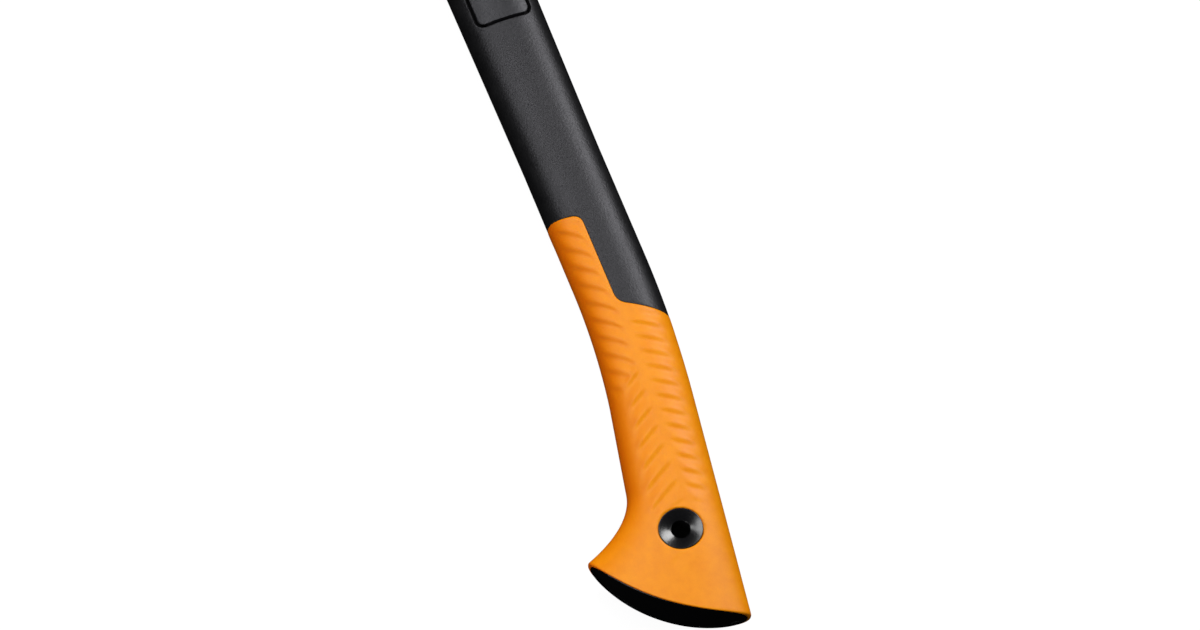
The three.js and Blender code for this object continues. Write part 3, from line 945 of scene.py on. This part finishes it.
stageLook = {"size": 30.0, "glow": 0.95, "white": 0.12, "lightsAway": 2.2, "worldGlow": 0.005}
softboxes = {
    # degrees from straight above towards the back edge, lean up the handle, sizes, watts
    "upper softbox": (-2, 0.43, 0.8, 0.6, 12.8),
    "front softbox": (-26, 0.43, 0.6, 0.6, 8),
    "back softbox": (41, 0.43, 0.6, 0.95, 27),
    "front fill": (-60, -0.35, 0.9, 0.9, 17),
    "back fill": (52, 0.0, 0.9, 0.9, 11.4),
}


def makeStage():
    f = Finish("pale floor", Roughness=0.9, Specular_IOR_Level=0.0)
    mottle = f.noise(400.0, 2.0, 0.5)
    white = stageLook["white"]
    f.shader.inputs["Base Color"].default_value = (white, white, white, 1)
    f.feed(Roughness=f.ranged(mottle, 0.3, 0.7, 0.85, 0.95))
    f.shader.inputs["Emission Color"].default_value = (1, 1, 1, 1)
    f.shader.inputs["Emission Strength"].default_value = stageLook["glow"]
    bpy.ops.mesh.primitive_plane_add(size=stageLook["size"], location=(0, 0, 0))
    floor = bpy.context.object
    floor.name = "floor"
    floor.data.materials.append(f.material)
    floor.visible_diffuse = False
    floor.visible_glossy = False
    g = Finish("pale backdrop", Roughness=1.0, Specular_IOR_Level=0.0)
    g.shader.inputs["Base Color"].default_value = (0, 0, 0, 1)
    g.shader.inputs["Emission Color"].default_value = (1, 1, 1, 1)
    g.shader.inputs["Emission Strength"].default_value = stageLook["glow"]
    bpy.ops.mesh.primitive_uv_sphere_add(radius=stageLook["size"] * 0.48, segments=48, ring_count=24)
    dome = bpy.context.object
    dome.name = "backdrop"
    dome.data.materials.append(g.material)
    for ray in ("diffuse", "glossy", "transmission", "volume_scatter", "shadow"):
        setattr(dome, "visible_" + ray, False)


def softbox(name, turned, ahead, width, height, watts):
    aim = Vector(metres([120, -10, 0]))
    side = math.sqrt(1 - ahead * ahead)
    angle = math.radians(turned)
    toLight = Vector((ahead, -math.sin(angle) * side, math.cos(angle) * side))
    light = bpy.data.lights.new(name, "AREA")
    light.shape = "RECTANGLE"
    light.size, light.size_y = width, height
    light.energy = watts
    lamp = bpy.data.objects.new(name, light)
    lamp.location = aim + toLight * stageLook["lightsAway"]
    lamp.rotation_mode = "QUATERNION"
    lamp.rotation_quaternion = toLight.to_track_quat("Z", "Y")
    bpy.context.scene.collection.objects.link(lamp)


def makeCamera():
    shot = {
        "azimuth": -110.545, "elevation": 62.325, "away": 2.6, "lens": 167.35,
        "aim": (121.2, -6.2, 0),
    }
    a, e = math.radians(shot["azimuth"]), math.radians(shot["elevation"])
    back = Vector((math.sin(a) * math.cos(e), -math.cos(a) * math.cos(e), math.sin(e)))
    camera = bpy.data.objects.new("camera", bpy.data.cameras.new("camera"))
    camera.data.lens = shot["lens"]
    camera.data.sensor_width = 36
    camera.data.clip_start, camera.data.clip_end = 0.05, 60
    camera.location = Vector(metres(shot["aim"])) + back * shot["away"]
    camera.rotation_mode = "QUATERNION"
    camera.rotation_quaternion = (-back).to_track_quat("-Z", "Y")
    bpy.context.scene.collection.objects.link(camera)
    bpy.context.scene.camera = camera


makeStage()
for name, values in softboxes.items():
    softbox(name, *values)
makeCamera()
world = bpy.data.worlds.new("studio")
world.use_nodes = True
world.node_tree.nodes["Background"].inputs[0].default_value = (1, 1, 1, 1)
world.node_tree.nodes["Background"].inputs[1].default_value = stageLook["worldGlow"]
bpy.context.scene.world = world
bpy.context.scene.view_settings.view_transform = "Standard"
print("stage, lights and camera made")
